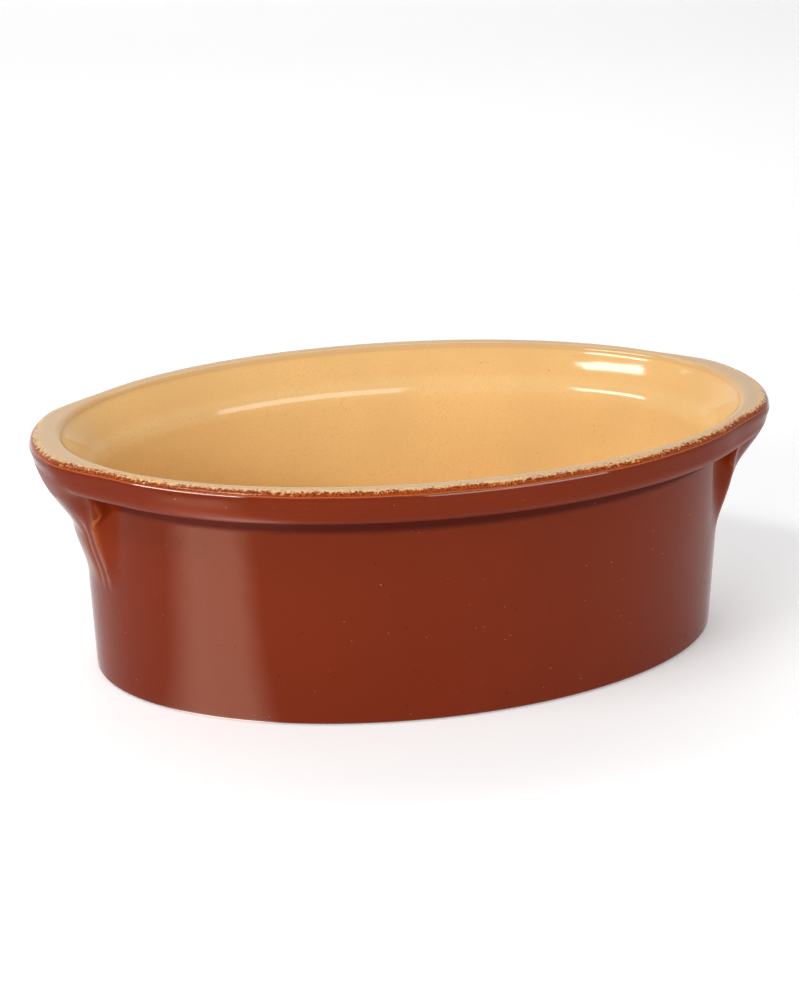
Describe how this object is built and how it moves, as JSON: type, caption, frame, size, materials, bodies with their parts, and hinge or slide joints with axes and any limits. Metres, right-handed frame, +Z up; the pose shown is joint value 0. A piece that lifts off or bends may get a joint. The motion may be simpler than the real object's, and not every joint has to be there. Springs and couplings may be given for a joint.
{
  "type": "oval baking dish",
  "caption": "Deep oval stoneware baking dish with a rolled rim, a fluted lug under each end, a red-brown glazed outside and a cream glazed inside.",
  "frame": {"origin": "centre of the bare foot's underside, on the surface that the dish stands on", "axes": "+X along the dish from the left lug to the right lug, +Y across it away from the viewer, +Z up through the open top"},
  "size_m": [0.2504, 0.1486, 0.0845],
  "materials": {
    "bare_clay": "unglazed fired stoneware, matt",
    "lug_clay": "unglazed fired stoneware under the glaze",
    "brown_glaze": "gloss red-brown glaze with fine specks",
    "cream_glaze": "gloss cream-ochre glaze with fine specks"
  },
  "bodies": {
    "root": {"stoneware_body": "bare_clay", "left_lug": "lug_clay", "right_lug": "lug_clay", "outer_glaze": "brown_glaze", "liner_glaze": "cream_glaze"}
  },
  "joints": []
}
